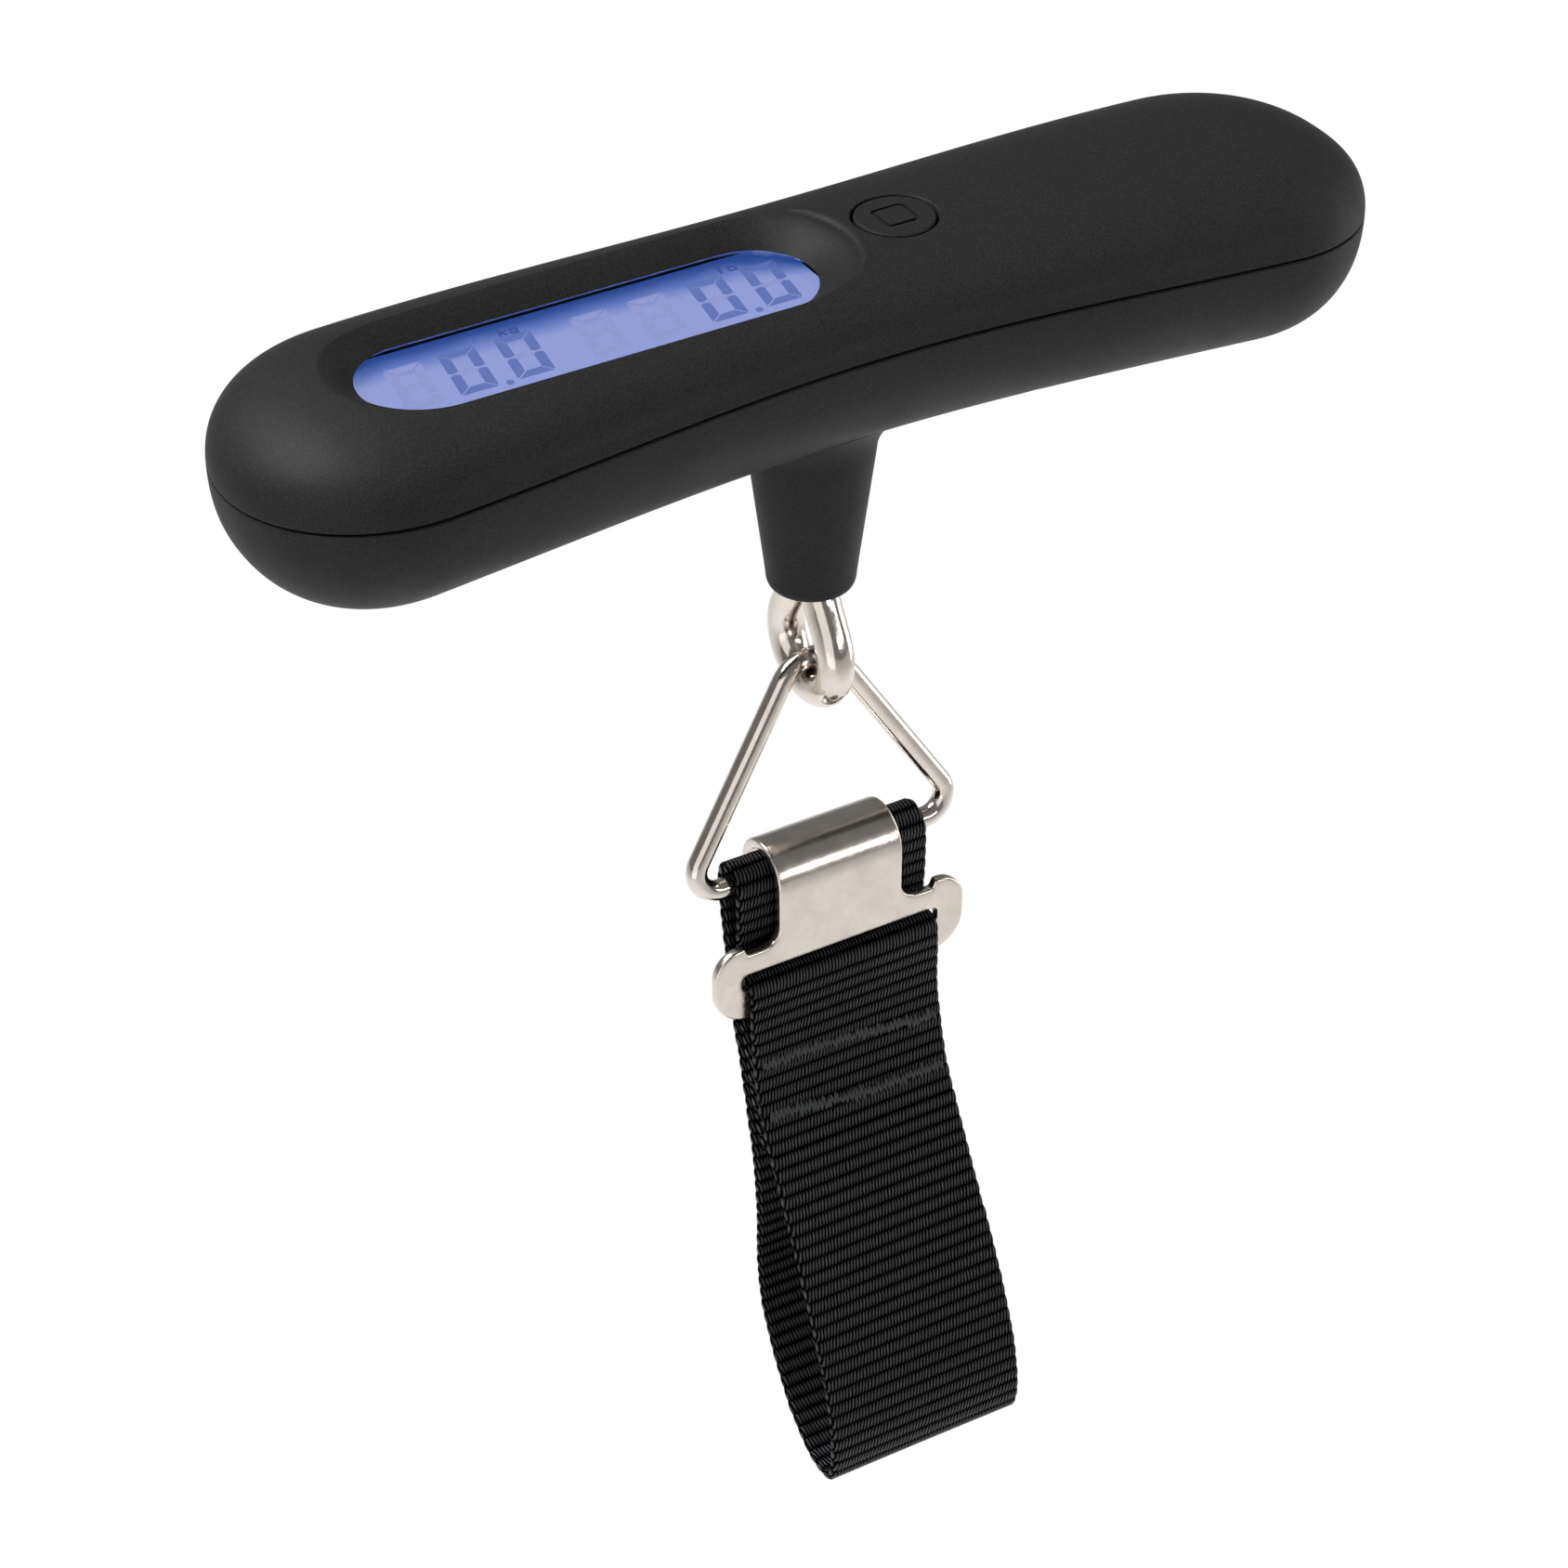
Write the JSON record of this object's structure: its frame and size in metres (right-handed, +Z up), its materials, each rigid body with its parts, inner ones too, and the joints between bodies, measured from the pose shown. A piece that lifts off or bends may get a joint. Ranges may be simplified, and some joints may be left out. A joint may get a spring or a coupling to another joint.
{
  "type": "digital luggage scale",
  "caption": "Handheld digital luggage scale: a T-shaped handle with a display and a button, and a webbing loop that hooks to a ring below.",
  "frame": {"origin": "on the neck's axis, level with the handle's parting line", "axes": "+X along the handle, -Y towards the user who reads the display, +Z up"},
  "size_m": [0.135, 0.0455, 0.1516],
  "materials": {
    "soft_touch_black": "soft-touch matt coating",
    "clear_lens": "clear, polished",
    "lcd_blue": "blue-violet, lit from behind",
    "light_guide": "milky",
    "grey_elastomer": "matt",
    "board_green": "solder mask on glass fibre",
    "black_plastic": "moulded",
    "plain_steel": "plain",
    "aluminium": "milled",
    "gauge_foil": "etched foil",
    "nickel_plate": "nickel plated, satin on the flat faces",
    "webbing_black": "ribbed woven webbing"
  },
  "bodies": {
    "handle": {"upper_shell": "soft_touch_black", "lower_shell": "soft_touch_black", "display_window": "clear_lens", "lcd_glass": "lcd_blue", "lcd_backlight": "light_guide", "elastomer_connector": "grey_elastomer", "circuit_board": "board_green", "tact_switch": "black_plastic", "controller_chip": "black_plastic", "board_screw_1": "plain_steel", "board_screw_2": "plain_steel", "load_cell_beam": "aluminium", "strain_gauge_upper": "gauge_foil", "strain_gauge_lower": "gauge_foil", "load_cell_screw_1": "plain_steel", "load_cell_screw_2": "plain_steel", "hanger_fork": "plain_steel", "link_pin": "plain_steel", "hanger_washer": "plain_steel", "hanger_nut": "plain_steel", "battery_cell": "plain_steel", "battery_holder": "black_plastic", "battery_contact_positive": "nickel_plate", "battery_contact_negative": "nickel_plate", "housing_screw_1": "plain_steel", "housing_screw_2": "plain_steel", "housing_screw_3": "plain_steel", "housing_screw_4": "plain_steel"},
    "button": {"button_cap": "soft_touch_black", "switch_plunger": "black_plastic"},
    "battery_door": {"battery_door": "soft_touch_black"},
    "link": {"eye_link": "nickel_plate"},
    "ring": {"triangle_ring": "nickel_plate"},
    "strap": {"webbing_loop": "webbing_black"},
    "hook": {"hook_plate": "nickel_plate", "webbing_fold": "webbing_black"}
  },
  "joints": [
    {"name": "button_press", "type": "slide", "parent": "handle", "child": "button", "axis": [0, 0, -1], "range_m": [0, 0.0005], "stiffness_N_per_m": 800, "springref_m": -0.0005},
    {"name": "battery_door_open", "type": "hinge", "parent": "handle", "child": "battery_door", "pos_m": [0.0253, 0, -0.016], "axis": [0, 1, 0], "range_deg": [0, 60]},
    {"name": "link_swing", "type": "hinge", "parent": "handle", "child": "link", "pos_m": [0, 0, -0.0315], "axis": [1, 0, 0], "range_deg": [-4, 4]},
    {"name": "ring_swing", "type": "hinge", "parent": "link", "child": "ring", "pos_m": [0, 0, -0.04588], "axis": [1, 0, 0], "range_deg": [-55, 55]},
    {"name": "strap_swing", "type": "hinge", "parent": "ring", "child": "strap", "pos_m": [0, -0.0029, -0.0712], "axis": [1, 0, 0], "range_deg": [-70, 70]},
    {"name": "hook_unhook", "type": "slide", "parent": "strap", "child": "hook", "axis": [0, -0.342, 0.9397], "range_m": [0, 0.006]}
  ]
}
